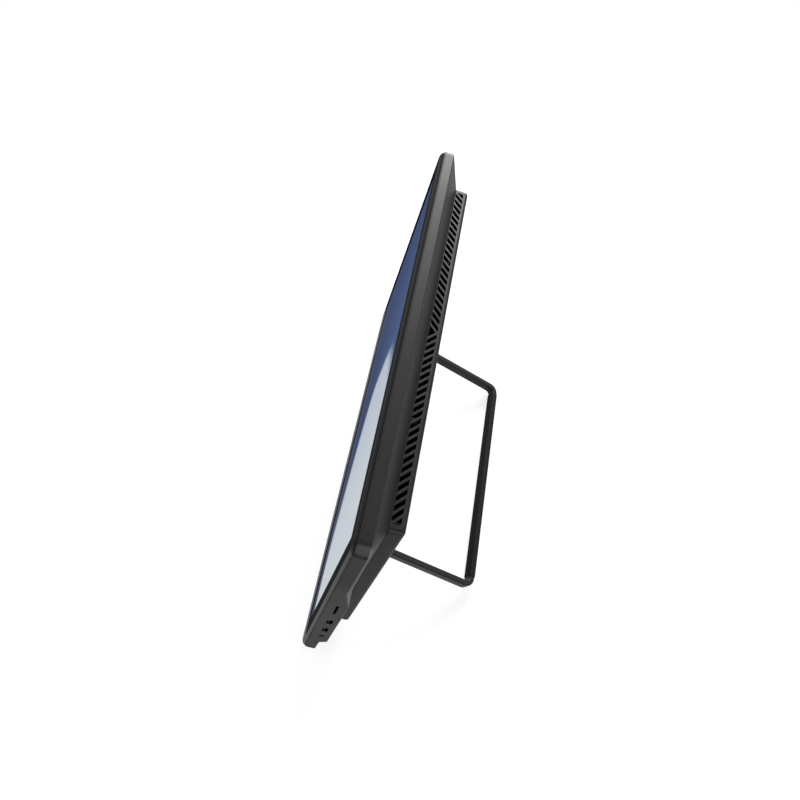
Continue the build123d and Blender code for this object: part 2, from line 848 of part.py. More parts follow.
def button(z, length):
    """A key flush with the case side, held in by a flange behind the wall."""
    half_y, half_z = button_high / 2, length / 2
    inner = button_back - button_flange
    cap = block(-side_x, inner, button_y - half_y, button_y + half_y, z - half_z, z + half_z)
    lap = 2 * button_gap
    return cap + block(inner, button_back, button_y - half_y - lap, button_y + half_y + lap,
                       z - half_z - lap, z + half_z + lap)


# ---------------------------------------------------------------- stand
def hinge_screw_places():
    reach = (bracket_half_base + ear_outer) / 2
    return [(side * leg_spread + x, z) for side in (-1, 1) for x in (-reach, reach)
            for z in (bracket_low + 2 * screw_head_r, bracket_high - 2 * screw_head_r)]


def hinge_bracket(side):
    """Steel foot on the chassis with two ears that stand out through the rear cover."""
    x = side * leg_spread
    base = block(x - bracket_half_base, x + bracket_half_base, chassis_back,
                 chassis_back + bracket_thick, bracket_low, bracket_high)
    base -= holes(hinge_screw_places(), screw_r, chassis_back, chassis_back + bracket_thick)
    neck = rear_depth - housing_wall - ear_r
    outline = [(chassis_back + bracket_thick, bracket_low), (chassis_back + bracket_thick, bracket_high),
               (neck, hinge_z + ear_r), (pivot_y, hinge_z + ear_r), (pivot_y, hinge_z - ear_r),
               (neck, hinge_z - ear_r)]
    for inner, outer in ((-ear_outer, -ear_inner), (ear_inner, ear_outer)):
        base += profile_x(outline, x + inner, x + outer)
        base += rod_x(ear_r, x + inner, x + outer, pivot_y, hinge_z)
        base -= rod_x(pin_r, x + inner, x + outer, pivot_y, hinge_z)
    return base + block(x - ear_inner, x + ear_inner, rear_depth - housing_wall, rear_depth,
                        hinge_z - ear_r, hinge_z + ear_r)


def hinge_pins():
    """One headed pin through each pair of ears, threaded for a nut at its inner end."""
    pins = []
    for side in (-1, 1):
        x = side * leg_spread
        ends = sorted((x + side * ear_outer, x - side * (ear_outer + nut_thick)))
        head = sorted((x + side * ear_outer, x + side * (ear_outer + pin_head_thick)))
        pins.append(rod_x(pin_r, *ends, pivot_y, hinge_z) + rod_x(pin_head_r, *head, pivot_y, hinge_z))
    return group(pins)


def hinge_nuts():
    nuts = []
    for side in (-1, 1):
        x0, x1 = sorted(side * (leg_spread - ear_outer - grip) for grip in (0, nut_thick))
        hexagon = Plane.YZ.offset(x0) * Pos(pivot_y, hinge_z) * RegularPolygon(nut_r, 6)
        nuts.append(extrude(hexagon, amount=x1 - x0, dir=(1, 0, 0)) - rod_x(pin_r, x0, x1, pivot_y, hinge_z))
    return group(nuts)


def hinge_washers():
    """Friction washers between the ears and the eyes of the stand."""
    washers = []
    for side in (-1, 1):
        for x0, x1 in ((-ear_inner, washer_thick - ear_inner), (ear_inner - washer_thick, ear_inner)):
            ends = (side * leg_spread + x0, side * leg_spread + x1)
            washers.append(rod_x(washer_r, *ends, pivot_y, hinge_z) - rod_x(pin_r, *ends, pivot_y, hinge_z))
    return group(washers)


def desk_offset():
    """Height of the body frame's origin above the desk once the body is leaned back."""
    slant = math.radians(lean)
    return foot_rear * math.sin(slant) + foot_height * math.cos(slant)


def stand_drop():
    """Angle of the legs below the body's +Y at which the sleeve just touches the desk."""
    slant = math.radians(lean)
    pivot_height = hinge_z * math.cos(slant) - pivot_y * math.sin(slant) + desk_offset()
    dip = slant
    for _ in range(40):
        reach = (math.sin(dip) * (leg_width / 2 - leg_edge_r) + math.cos(dip) * (leg_depth / 2 - leg_edge_r)
                 + leg_edge_r + sleeve_skin)
        dip = math.asin((pivot_height - reach) / leg_length)
    return math.degrees(dip - slant)


def in_stand_frame(shape):
    """From the loop's own plane, legs along +Y from the pivot line, to the body frame."""
    return Pos(0, pivot_y, hinge_z) * Rot(-stand_drop(), 0, 0) * shape


def stand_loop():
    """Flat bar bent into a U, with an eye at the end of each leg."""
    half = leg_width / 2
    outer_x, outer_y = leg_spread + half, leg_length + half
    solid = block(-outer_x, outer_x, 0, outer_y, -leg_depth / 2, leg_depth / 2)
    solid = fillet(solid.edges().filter_by(Axis.Z).group_by(Axis.Y)[-1], loop_bend_r + half)
    gap = block(half - leg_spread, leg_spread - half, 0, leg_length - half, -leg_depth, leg_depth)
    gap = fillet(gap.edges().filter_by(Axis.Z).group_by(Axis.Y)[-1], loop_bend_r - half)
    loop = solid - gap
    faces = loop.faces().filter_by(Axis.Z)
    ends = loop.faces().filter_by(Axis.Y).sort_by(Axis.Y)[:2]
    end_edges = [edge for face in ends for edge in face.edges()]
    long_edges = [edge for face in faces for edge in face.edges()
                  if edge not in end_edges]
    loop = fillet(long_edges, leg_edge_r)
    for side in (-1, 1):
        loop += rod_x(leg_depth / 2, side * leg_spread - half, side * leg_spread + half, 0, 0)
        loop -= rod_x(pin_r + pin_clearance, side * leg_spread - half, side * leg_spread + half, 0, 0)
    return in_stand_frame(loop)


def bar_section(grow, half_length):
    """A straight length of the bar's rounded section along X, grown by grow all round."""
    section = RectangleRounded(leg_width + 2 * grow, leg_depth + 2 * grow, leg_edge_r + grow)
    placed = Plane.YZ.offset(-half_length) * section
    return Pos(0, leg_length, 0) * extrude(placed, amount=2 * half_length, dir=(1, 0, 0))


def stand_sleeve():
    """Rubber sleeve over the straight part of the cross bar."""
    half_length = leg_spread - loop_bend_r - sleeve_end_gap
    return in_stand_frame(bar_section(sleeve_skin, half_length) - bar_section(0, half_length))


def front_feet():
    """Wedge pads whose undersides lie on the desk when the case leans back."""
    drop = foot_height + (foot_rear - foot_front) * math.tan(math.radians(lean))
    outline = [(foot_front, 0), (foot_rear, 0), (foot_rear, -foot_height), (foot_front, -drop)]
    return group([profile_x(outline, x - foot_length / 2, x + foot_length / 2) for x in (-foot_x, foot_x)])


# ---------------------------------------------------------------- all pieces
def pieces():
    """Every node of the computer in the body frame."""
    built = {
        "front_bezel": front_bezel(),
        "back_cover": back_cover(),
        "rear_cover": rear_cover(),
        "lcd_panel": lcd_panel(),
        "backlight_unit": backlight_unit(),
        "panel_chassis": panel_chassis(),
        "display_cable": display_cable(),
        "webcam_module": webcam_module(),
        "webcam_window": webcam_window(),
        "side_io_board": side_io_board(),
        "side_usb_shells": side_usb_shells(),
        "side_usb_tongues": side_usb_tongues(),
        "sd_card_socket": sd_card_socket(),
        "headset_jack": headset_jack(),
        "port_plate": port_plate(),
        "hdmi_port": hdmi_port(),
        "lan_port": lan_port(),
        "dc_inlet": dc_inlet(),
        "rear_usb_ports": rear_usb_ports(),
        "board_tray": board_tray(),
        "mainboard": mainboard(),
        "processor": on_board(cpu_x, cpu_z, chip_size, chip_size, board_back, chip_thick),
        "cold_plate": on_board(cpu_x, cpu_z, plate_size, plate_size, plate_y, plate_thick),
        "heat_pipe": heat_pipe(),
        "heat_sink": heat_sink(),
        "fan_housing": fan_housing(),
        "fan_rotor": fan_rotor(),
        "memory_socket": memory_socket(),
        "memory_module": memory_module(),
        "wlan_card": on_board(wlan_x, wlan_z, wlan_wide, wlan_tall, board_back, wlan_thick),
        "wlan_antennas": wlan_antennas(),
        "coin_cell": rod_y(cell_r, board_back, board_back + cell_thick, cell_x, wlan_z),
        "hard_drive": hard_drive(),
        "drive_bracket": drive_bracket(),
        "speaker_left": speaker(-1),
        "speaker_right": speaker(1),
        "button_board": button_board(),
        "tact_switches": tact_switches(),
        "hinge_bracket_left": hinge_bracket(-1),
        "hinge_bracket_right": hinge_bracket(1),
        "hinge_pins": hinge_pins(),
        "hinge_nuts": hinge_nuts(),
        "hinge_washers": hinge_washers(),
        "stand_loop": stand_loop(),
        "stand_sleeve": stand_sleeve(),
        "front_feet": front_feet(),
        "rear_cover_screws": screws(rear_posts, rear_depth - screw_sink, rear_depth - chassis_y - screw_sink),
        "chassis_screws": screws(chassis_posts, chassis_back, chassis_back - bezel_face),
        "board_screws": screws(tray_standoffs(), board_back, board_back - tray_y),
        "side_board_screws": screws(side_board_screws(), side_board_y + board_thick,
                                    side_board_y + board_thick - chassis_y),
        "hinge_screws": screws(hinge_screw_places(), chassis_back + bracket_thick,
                               chassis_thick + bracket_thick),
    }
    for name, z, length in key_rows:
        built[name] = button(z, length)
    return built


def on_desk(built):
    """Lean every piece back and centre the whole over the origin."""
    leaned = {name: Pos(0, 0, desk_offset()) * Rot(-lean, 0, 0) * shape for name, shape in built.items()}
    box = Compound(children=[Compound(shape.solids()) for shape in leaned.values()]).bounding_box()
    centre = Pos(-(box.min.X + box.max.X) / 2, -(box.min.Y + box.max.Y) / 2, 0)
    return {name: centre * shape for name, shape in leaned.items()}


def main():
    os.makedirs("parts", exist_ok=True)
    for name, shape in on_desk(pieces()).items():
        export_step(shape, f"parts/{name}.step")


main()
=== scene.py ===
"""Finishes, studio and camera for the all-in-one desktop computer on its folding loop stand."""
import json
import math

import bmesh
import bpy
from mathutils import Euler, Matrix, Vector


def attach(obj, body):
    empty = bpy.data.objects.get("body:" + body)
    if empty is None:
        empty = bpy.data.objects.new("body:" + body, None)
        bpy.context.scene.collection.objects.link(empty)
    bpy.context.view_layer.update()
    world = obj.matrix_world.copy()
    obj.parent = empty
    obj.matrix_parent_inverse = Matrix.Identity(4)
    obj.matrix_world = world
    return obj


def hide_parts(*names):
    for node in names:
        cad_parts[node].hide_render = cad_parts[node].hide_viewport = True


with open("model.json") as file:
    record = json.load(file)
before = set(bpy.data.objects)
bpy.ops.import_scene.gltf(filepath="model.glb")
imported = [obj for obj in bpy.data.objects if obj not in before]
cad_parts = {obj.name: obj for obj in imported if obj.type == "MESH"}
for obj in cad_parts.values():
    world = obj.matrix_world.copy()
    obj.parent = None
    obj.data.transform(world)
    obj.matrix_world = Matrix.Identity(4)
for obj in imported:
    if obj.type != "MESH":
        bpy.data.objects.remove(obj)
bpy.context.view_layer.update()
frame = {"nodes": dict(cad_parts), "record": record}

nodes = frame["nodes"]
body_of_node = {node: body for body, members in frame["record"]["behaviour"]["bodies"].items()
                for node in members}

# The computer leans back, so its own axes are across, into and up the screen.
LEAN = math.radians(11.0)
INTO = Vector((0.0, math.cos(LEAN), -math.sin(LEAN)))
UP_SCREEN = Vector((0.0, math.sin(LEAN), math.cos(LEAN)))


def leaned_box(node):
    """Lowest and highest places of a piece across, into and up the leaned computer."""
    mesh = nodes[node].data
    places = [(v.co.x, v.co.dot(INTO), v.co.dot(UP_SCREEN)) for v in mesh.vertices]
    lowest = [min(place[i] for place in places) for i in range(3)]
    highest = [max(place[i] for place in places) for i in range(3)]
    return lowest, highest


def leaned_point(across, into, up):
    """A place given across, into and up the computer from the foot of its front face."""
    return (Vector((across, 0.0, 0.0)) + INTO * (bezel_low[1] + into)
            + UP_SCREEN * (bezel_low[2] + up))


bezel_low, bezel_high = leaned_box("front_bezel")
panel_low, panel_high = leaned_box("lcd_panel")
housing_low, housing_high = leaned_box("rear_cover")

FACE_FOOT = (0.0, bezel_low[1], bezel_low[2])    # middle of the front face's lower edge

GRAIN, GRAIN_DEPTH = 0.0007, 0.000015       # the moulded grain of the case
LINE_PITCH, LINE_DEPTH = 0.0036, 0.00012    # the pressed lines on the rear housing
WIRE_PITCH = 0.001                          # the conductors of the flat cable
CHIN = 0.0357                               # height of the satin strip under the screen
PANEL_LAP = 0.002                           # how far the bezel covers the panel
CASE_CORNER = 0.012                         # round of the back cover's corners
HOUSING_CORNER = 0.0042                     # round of the rear housing's corners

# Tip of the pale opening in the picture, as shares of the panel's width and height.
TIP_ACROSS, TIP_HEIGHT = 0.45, 0.58

# Easing of hard edges
SAME_PLACE = 0.000002              # points closer than this are one
FLAT_ENOUGH = math.radians(0.6)    # faces that turn less than this are joined
HARD_EDGE = math.radians(38)       # edges that turn more than this are eased
SHADED_SHARP = math.radians(36)    # edges that turn more than this are shaded sharp


# ---------------------------------------------------------------- shader wiring

class Wire:
    """An output in a finish. Sums on it add Math nodes; numbers alone stay in Python."""

    def __init__(self, finish, socket):
        self.finish, self.socket = finish, socket

    def maths(self, operation, *values):
        """The Math node that does operation on values, which are wires or numbers."""
        return self.finish.node("ShaderNodeMath", {"operation": operation}, values)

    def __add__(self, other):
        return self.maths("ADD", self, other)

    def __radd__(self, other):
        return self.maths("ADD", other, self)

    def __sub__(self, other):
        return self.maths("SUBTRACT", self, other)

    def __rsub__(self, other):
        return self.maths("SUBTRACT", other, self)

    def __mul__(self, other):
        return self.maths("MULTIPLY", self, other)

    def __rmul__(self, other):
        return self.maths("MULTIPLY", other, self)

    def __truediv__(self, other):
        return self.maths("DIVIDE", self, other)

    def __pow__(self, other):
        return self.maths("POWER", self, other)

    def size(self):
        """How far it is from 0, without its sign."""
        return self.maths("ABSOLUTE", self)

    def least(self, other):
        """The smaller of the two."""
        return self.maths("MINIMUM", self, other)

    def most(self, other):
        """The larger of the two."""
        return self.maths("MAXIMUM", self, other)

    def sine(self):
        return self.maths("SINE", self)

    def between(self, low, high):
        """0 below low, 1 above high, and smooth between them."""
        return self.finish.node("ShaderNodeMapRange", {"interpolation_type": "SMOOTHSTEP"},
                                {0: self, 1: low, 2: high, 3: 0.0, 4: 1.0})


class Finish:
    """One material, worked out from places on the piece itself."""

    def __init__(self, name):
        self.material = bpy.data.materials.new(name)
        self.material.use_nodes = True
        self.tree = self.material.node_tree
        self.tree.nodes.clear()
        self.out = self.tree.nodes.new("ShaderNodeOutputMaterial")
        self.place = self.node("ShaderNodeTexCoord", out="Object")

    def node(self, kind, settings=(), values=(), out=0):
        """Any node: its settings first, then the numbers or wires of its inputs."""
        made = self.tree.nodes.new(kind)
        for setting, value in dict(settings).items():
            setattr(made, setting, value)
        for key, value in (values.items() if isinstance(values, dict) else enumerate(values)):
            if isinstance(value, Wire):
                self.tree.links.new(value.socket, made.inputs[key])
            else:
                made.inputs[key].default_value = value
        return Wire(self, made.outputs[out])

    def turned(self, rotation=(0, 0, 0), scale=(1, 1, 1)):
        """Places on the piece, turned and then stretched."""
        return self.node("ShaderNodeMapping", {}, {
            "Vector": self.place, "Rotation": rotation, "Scale": scale})

    def leaned(self, origin):
        """Places across, into and up the leaned computer, measured from origin."""
        return self.node("ShaderNodeVectorMath", {"operation": "SUBTRACT"}, (
            self.turned(rotation=(LEAN, 0, 0)), tuple(origin)))

    def axes(self, vector):
        """The three numbers of a vector, as wires."""
        split = self.tree.nodes.new("ShaderNodeSeparateXYZ")
        self.tree.links.new(vector.socket, split.inputs[0])
        return [Wire(self, split.outputs[i]) for i in range(3)]

    def cloud(self, size, detail=2.0, rough=0.5, place=None):
        """Soft random patches about size metres wide, from 0 to 1."""
        return self.node("ShaderNodeTexNoise", {}, {
            "Vector": place or self.place, "Scale": 1.0 / size,
            "Detail": detail, "Roughness": rough})

    def cells(self, size, place):
        """How far a place is from the nearest of many scattered points, size metres apart."""
        return self.node("ShaderNodeTexVoronoi", {"feature": "F1"}, {
            "Vector": place, "Scale": 1.0 / size, "Randomness": 1.0}, out="Distance")

    def mix(self, factor, first, second):
        """The first colour where factor is 0, the second where it is 1."""
        return self.node("ShaderNodeMix", {"data_type": "RGBA"},
                         {0: factor, 6: first, 7: second}, out=2)

    def shade(self, colour, factor):
        """A colour made darker or lighter by a wire round 1."""
        return self.node("ShaderNodeVectorMath", {"operation": "SCALE"},
                         {0: colour, "Scale": factor})

    def corner_highlight(self, across, up, low, high, radius):
        """1 on the four rounded corners of a moulding, where a highlight is painted paler."""
        middle = (low[2] + high[2]) / 2 - bezel_low[2]
        side = across.size() - (high[0] - radius)
        end = (up - middle).size() - ((high[2] - low[2]) / 2 - radius)
        return (side.least(end) / radius).between(0.36, 0.66)

    def relief(self, height, depth, under=None):
        """Normals of a surface raised by height times depth, on top of the relief under it."""
        values = {"Strength": 1.0, "Distance": depth, "Height": height}
        if under is not None:
            values["Normal"] = under
        return self.node("ShaderNodeBump", {}, values)

    def layer(self, **values):
        """A Principled shader. An underscore in a name stands for a space."""
        return self.node("ShaderNodeBsdfPrincipled", {},
                         {key.replace("_", " "): value for key, value in values.items()})

    def finished(self, shader):
        """The material, with shader on its surface."""
        self.tree.links.new(shader.socket, self.out.inputs["Surface"])
        return self.material

    def surface(self, **values):
        """The material of a single Principled layer."""
        return self.finished(self.layer(**values))


def rgb(red, green, blue):
    return (red, green, blue, 1.0)


def grey(level):
    return (level, level, level, 1.0)


# ---------------------------------------------------------------- finishes

def moulded(name, colour, roughness, grain, grain_depth, gloss=0.1):
    """Moulded plastic: a spark-eroded grain, faint flow marks and patches dulled by handling."""
    f = Finish(name)
    fine = f.cloud(grain, 3.0, 0.65)
    flow = f.cloud(0.035, 3.0, 0.55)
    handled = f.cloud(0.09, 2.0).between(0.38, 0.68)
    tone = (fine - 0.5) * 0.12 + (flow - 0.5) * 0.16 + 1.0
    return f.surface(
        Base_Color=f.shade(colour[:3], tone),
        Roughness=roughness + (fine - 0.5) * 0.10 + (handled - 0.5) * 0.06,
        Normal=f.relief(fine, grain_depth),
        Specular_IOR_Level=gloss, IOR=1.5)


def case_plastic():
    """The back cover's moulded grain, with a highlight painted paler on its rounded corners."""
    f = Finish("case_moulded_plastic")
    across, _, up = f.axes(f.leaned(FACE_FOOT))
    fine = f.cloud(GRAIN, 3.0, 0.65)
    flow = f.cloud(0.035, 3.0, 0.55)
    handled = f.cloud(0.09, 2.0).between(0.38, 0.68)
    # Painted highlight: the rounded corners are coloured paler and made a little glossier.
    painted_highlight = f.corner_highlight(across, up, bezel_low, bezel_high, CASE_CORNER)
    tone = (fine - 0.5) * 0.16 + (flow - 0.5) * 0.16 + painted_highlight * 3.0 + 1.0
    return f.surface(
        Base_Color=f.shade((0.0145, 0.0143, 0.0141), tone),
        Roughness=0.46 + (fine - 0.5) * 0.10 + (handled - 0.5) * 0.06 - painted_highlight * 0.06,
        Normal=f.relief(fine, GRAIN_DEPTH), Specular_IOR_Level=0.06, IOR=1.5)


def ribbed_housing():
    """The rear housing's tooling: fine lines stacked up the screen over a moulded grain."""
    f = Finish("rear_housing_lined_plastic")
    across, _, up = f.axes(f.leaned(FACE_FOOT))
    # Painted highlight: the housing's rounded corners are coloured paler.
    painted_highlight = f.corner_highlight(across, up, housing_low, housing_high, HOUSING_CORNER)
    waver = f.cloud(0.012, 2.0) * 0.0016
    wave = (up + waver) * (math.tau / LINE_PITCH)
    lines = (wave.sine() * 0.5 + 0.5) ** 1.4
    fine = f.cloud(GRAIN, 3.0, 0.65)
    flow = f.cloud(0.04, 3.0, 0.55)
    tone = (lines - 0.5) * 1.0 + (fine - 0.5) * 0.3 + (flow - 0.5) * 0.14 + painted_highlight * 3.6 + 1.0
    return f.surface(
        Base_Color=f.shade((0.0122, 0.0120, 0.0118), tone),
        Roughness=0.50 + (fine - 0.5) * 0.10 - (lines - 0.5) * 0.05,
        Normal=f.relief(fine, GRAIN_DEPTH, f.relief(lines, LINE_DEPTH)),
        Specular_IOR_Level=0.08, IOR=1.5)


def bezel():
    """Soft black paint round the screen, a satin strip under it, and moulded grain on the edge."""
    f = Finish("bezel_painted_plastic")
    across, into, up = f.axes(f.leaned(FACE_FOOT))
    fine = f.cloud(GRAIN, 3.0, 0.65)
    flow = f.cloud(0.035, 3.0, 0.55)
    tone = (fine - 0.5) * 0.14 + (flow - 0.5) * 0.16 + 1.0
    middle = (panel_low[2] + panel_high[2]) / 2 - bezel_low[2]
    beside = across.size() - (panel_high[0] - PANEL_LAP)
    above = (up - middle).size() - (middle + bezel_low[2] - panel_low[2] - PANEL_LAP)
    border = 1.0 - beside.most(above).between(0.0007, 0.0013)
    soft_black = f.shade((0.0170, 0.0185, 0.0195), tone)
    paint = f.layer(Base_Color=f.mix(border, soft_black, rgb(0.002, 0.0024, 0.003)),
                    Roughness=0.62 + (fine - 0.5) * 0.1, Normal=f.relief(fine, 0.000010),
                    Specular_IOR_Level=0.0, IOR=1.5)
    satin = f.layer(Base_Color=f.shade((0.0195, 0.0235, 0.0400), tone),
                    Roughness=0.40 + (fine - 0.5) * 0.1, Normal=f.relief(fine, 0.000006),
                    Specular_IOR_Level=0.032, IOR=1.5)
    edge = f.layer(Base_Color=f.shade((0.0085, 0.0085, 0.0088), tone),
                   Roughness=0.42 + (fine - 0.5) * 0.1, Normal=f.relief(fine, GRAIN_DEPTH),
                   Specular_IOR_Level=0.12, IOR=1.5)
    under_screen = 1.0 - up.between(CHIN - 0.0012, CHIN - 0.0006)
    round_edge = into.between(0.0004, 0.0009)
    front = f.node("ShaderNodeMixShader", {}, (under_screen, paint, satin))
    return f.finished(f.node("ShaderNodeMixShader", {}, (round_edge, front, edge)))


def display():
    """The lit panel behind its matt film: a deep blue field with a pale, rounded opening."""
    f = Finish("display_panel")
    wide, tall = panel_high[0] - panel_low[0], panel_high[2] - panel_low[2]
    across, _, up = f.axes(f.leaned(panel_low))
    drift = f.cloud(0.16, 2.0, 0.45)
    x = across / wide
    y = up / tall
    off_middle = ((y - TIP_HEIGHT) * 0.66).most((TIP_HEIGHT - y) * 0.82)
    opening = (x - TIP_ACROSS).most(0.0) ** 0.55 * 0.62
    outside = (off_middle - opening + (drift - 0.5) * 0.05).between(-0.05, 0.06)
    glow = (1.0 - outside) * x.between(TIP_ACROSS + 0.005, TIP_ACROSS + 0.05)
    deep = f.mix(y.between(0.0, 0.9), rgb(0.040, 0.056, 0.120), rgb(0.062, 0.098, 0.215))
    far = f.mix(x.between(0.0, 0.55), rgb(0.045, 0.066, 0.150), deep)
    pale = f.mix(x.between(0.45, 1.0), rgb(0.46, 0.51, 0.60), rgb(0.57, 0.61, 0.65))
    picture = f.mix(glow, far, pale)
    strip = 1.0 - y.between(0.112, 0.124)
    picture = f.mix(strip * 0.92, picture, rgb(0.068, 0.074, 0.120))
    film = f.cloud(0.0005, 2.0)
    return f.surface(
        Base_Color=rgb(0.010, 0.011, 0.014), Roughness=0.24 + (film - 0.5) * 0.05,
        Emission_Color=picture, Emission_Strength=1.0, Normal=f.relief(film, 0.000002),
        Specular_IOR_Level=0.0, IOR=1.5)


def metal(name, colour, roughness, brushed, metallic=1.0, gloss=0.5):
    """Sheet or turned metal with drawn lines along one way and faint patches."""
    f = Finish(name)
    drawn = f.cloud(0.0009, 3.0, 0.7, f.turned(scale=brushed))
    patches = f.cloud(0.02, 3.0)
    tone = (drawn - 0.5) * 0.16 + (patches - 0.5) * 0.2 + 1.0
    return f.surface(
        Base_Color=f.shade(colour, tone), Metallic=metallic,
        Roughness=roughness + (drawn - 0.5) * 0.18 + (patches - 0.5) * 0.12,
        Normal=f.relief(drawn, 0.000006), Specular_IOR_Level=gloss)


def stand_paint():
    """Powder coat on the bent bar: a fine orange peel under a low sheen."""
    f = Finish("stand_powder_coat")
    peel = f.cloud(0.0011, 2.0, 0.5)
    speck = f.cloud(0.0003, 1.0)
    wear = f.cloud(0.05, 3.0).between(0.35, 0.75)
    return f.surface(
        Base_Color=f.shade((0.0125, 0.0122, 0.0119),
                           (speck - 0.5) * 0.3 + (wear - 0.5) * 0.12 + 1.0),
        Roughness=0.44 + (peel - 0.5) * 0.12 + (wear - 0.5) * 0.05,
        Normal=f.relief(peel, 0.00002), Specular_IOR_Level=0.14, IOR=1.5)


def board():
    """Printed circuit board: solder mask over routed tracks, with plated holes and pads."""
    f = Finish("printed_circuit")
    place = f.leaned(bezel_low)
    tracks = f.node("ShaderNodeTexBrick", {"offset": 0.5, "squash": 1.0}, {
        "Vector": f.node("ShaderNodeMapping", {}, {
            "Vector": place, "Rotation": (math.radians(90), 0, 0)}),
        "Scale": 1.0 / 0.006, "Mortar Size": 0.05, "Brick Width": 1.9, "Row Height": 0.35,
        "Color1": rgb(0, 0, 0), "Color2": rgb(0, 0, 0), "Mortar": rgb(1, 1, 1)})
    holes = 1.0 - f.cells(0.005, place).between(0.10, 0.14)
    weave = f.cloud(0.0006, 2.0)
    mask = f.mix(tracks, rgb(0.008, 0.045, 0.028), rgb(0.018, 0.085, 0.050))
    return f.surface(
        Base_Color=f.mix(holes, f.shade(mask, (weave - 0.5) * 0.3 + 1.0), rgb(0.62, 0.60, 0.52)),
        Metallic=holes, Roughness=0.34 - holes * 0.08 + (weave - 0.5) * 0.08,
        Normal=f.relief(tracks.most(holes), 0.00003), IOR=1.5)


def rubber():
    """Matt rubber with a little dust in it."""
    f = Finish("foot_rubber")
    dust = f.cloud(0.004, 4.0, 0.7)
    fine = f.cloud(0.0006, 2.0)
    return f.surface(
        Base_Color=f.shade((0.0075, 0.0074, 0.0074), (dust - 0.5) * 0.5 + 1.0),
        Roughness=0.74 + (dust - 0.5) * 0.2, Normal=f.relief(fine, 0.00003),
        Specular_IOR_Level=0.08, IOR=1.5)


def lens():
    """Smoked window and camera glass with its coloured coating."""
    f = Finish("camera_lens")
    film = f.cloud(0.002, 2.0)
    return f.surface(
        Base_Color=f.mix(film, rgb(0.006, 0.006, 0.010), rgb(0.012, 0.010, 0.022)),
        Roughness=0.12 + film * 0.04, Specular_IOR_Level=0.0, IOR=1.5)


def cable_film():
    """Flat cable: brown film over rows of conductors."""
    f = Finish("flat_cable_film")
    up = f.axes(f.leaned(bezel_low))[2]
    wires = (up * (math.tau / WIRE_PITCH)).sine() * 0.5 + 0.5
    fine = f.cloud(0.001, 2.0)
    return f.surface(
        Base_Color=f.mix(wires, rgb(0.020, 0.018, 0.015), rgb(0.060, 0.045, 0.028)),
        Roughness=0.30 + (fine - 0.5) * 0.12, Normal=f.relief(wires, 0.00005), IOR=1.5)


def light_guide():
    """White plastic frame of the backlight, faintly hazed."""
    f = Finish("backlight_frame")
    fine = f.cloud(0.0008, 2.0)
    haze = f.cloud(0.03, 2.0)
    return f.surface(
        Base_Color=f.shade((0.62, 0.63, 0.62), (haze - 0.5) * 0.12 + 1.0),
        Roughness=0.38 + (fine - 0.5) * 0.1, Normal=f.relief(fine, 0.00001), IOR=1.5)


finishes = {
    "case_plastic": case_plastic(),
    "housing_plastic": ribbed_housing(),
    "bezel_plastic": bezel(),
    "screen_glass": display(),
    "light_guide": light_guide(),
    "sheet_steel": metal("zinc_sheet_steel", (0.60, 0.61, 0.61), 0.36, (1, 1, 0.15)),
    "painted_steel": stand_paint(),
    "bright_steel": metal("plated_steel", (0.66, 0.66, 0.65), 0.24, (0.2, 1, 1)),
    "circuit_board": board(),
    "chip_plastic": moulded("chip_package", grey(0.030), 0.48, 0.0004, 0.00001),
    "copper": metal("copper_pipe", (0.78, 0.38, 0.24), 0.28, (0.2, 1, 1)),
    "fin_aluminium": metal("fin_aluminium", (0.74, 0.75, 0.76), 0.32, (1, 0.2, 1)),
    # Black paint on the parts seen through the vents, made far darker and duller than paint:
    # partly painted shade of the case's inside.
    "black_metal": metal("black_metal_with_painted_shade", (0.0020, 0.0020, 0.0020), 0.60, (0.2, 1, 1),
                         metallic=0.0, gloss=0.02),
    "rubber": rubber(),
    "port_plastic": moulded("port_insulator", grey(0.0035), 0.48, 0.0004, 0.000008, gloss=0.06),
    "lens": lens(),
    "cable_film": cable_film(),
}

slot_of_node = {part["node"]: part["material_slot"] for part in frame["record"]["subparts"]}


def softened(node, radius):
    """A piece again, with its hard edges eased by a small round."""
    made = bmesh.new()
    made.from_mesh(nodes[node].data)
    bmesh.ops.remove_doubles(made, verts=made.verts[:], dist=SAME_PLACE)
    bmesh.ops.dissolve_limit(made, angle_limit=FLAT_ENOUGH, verts=made.verts[:],
                             edges=made.edges[:], delimit=set())
    hard = [edge for edge in made.edges
            if len(edge.link_faces) == 2 and edge.calc_face_angle(0.0) > HARD_EDGE]
    bmesh.ops.bevel(made, geom=hard, offset=radius, offset_type="OFFSET", affect="EDGES",
                    segments=3, profile=0.5, material=-1, clamp_overlap=False)
    bmesh.ops.triangulate(made, faces=[face for face in made.faces if len(face.verts) > 4])
    mesh = bpy.data.meshes.new(node + "_eased")
    made.to_mesh(mesh)
    made.free()
    for face in mesh.polygons:
        face.use_smooth = True
    mesh.set_sharp_from_angle(angle=SHADED_SHARP)
    piece = bpy.data.objects.new(node + "_eased", mesh)
    bpy.context.scene.collection.objects.link(piece)
    even = piece.modifiers.new("even_shading", "WEIGHTED_NORMAL")
    even.keep_sharp = True
    mesh.materials.append(finishes[slot_of_node[node]])
    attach(piece, body_of_node[node])
    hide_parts(node)


for node, thing in nodes.items():
    thing.data.materials.clear()
    thing.data.materials.append(finishes[slot_of_node[node]])

for node, radius in (("rear_cover", 0.00035), ("back_cover", 0.00025), ("front_bezel", 0.00020),
                     ("power_button", 0.00030), ("brightness_up_button", 0.00030),
                     ("brightness_down_button", 0.00030), ("screen_off_button", 0.00030),
                     ("hinge_bracket_left", 0.00030), ("hinge_bracket_right", 0.00030)):
    softened(node, radius)


# ---------------------------------------------------------------- studio and camera

FLOOR_HALF = 4.0             # half the floor's width
SHADOW_ENDS = (0.35, 1.3)    # how far out the floor's shadow starts and ends fading to white
SHADOW_SHARE = 0.18          # how much of the floor's shadow shows near the computer
SKY_STRENGTH = 0.45          # light from all round


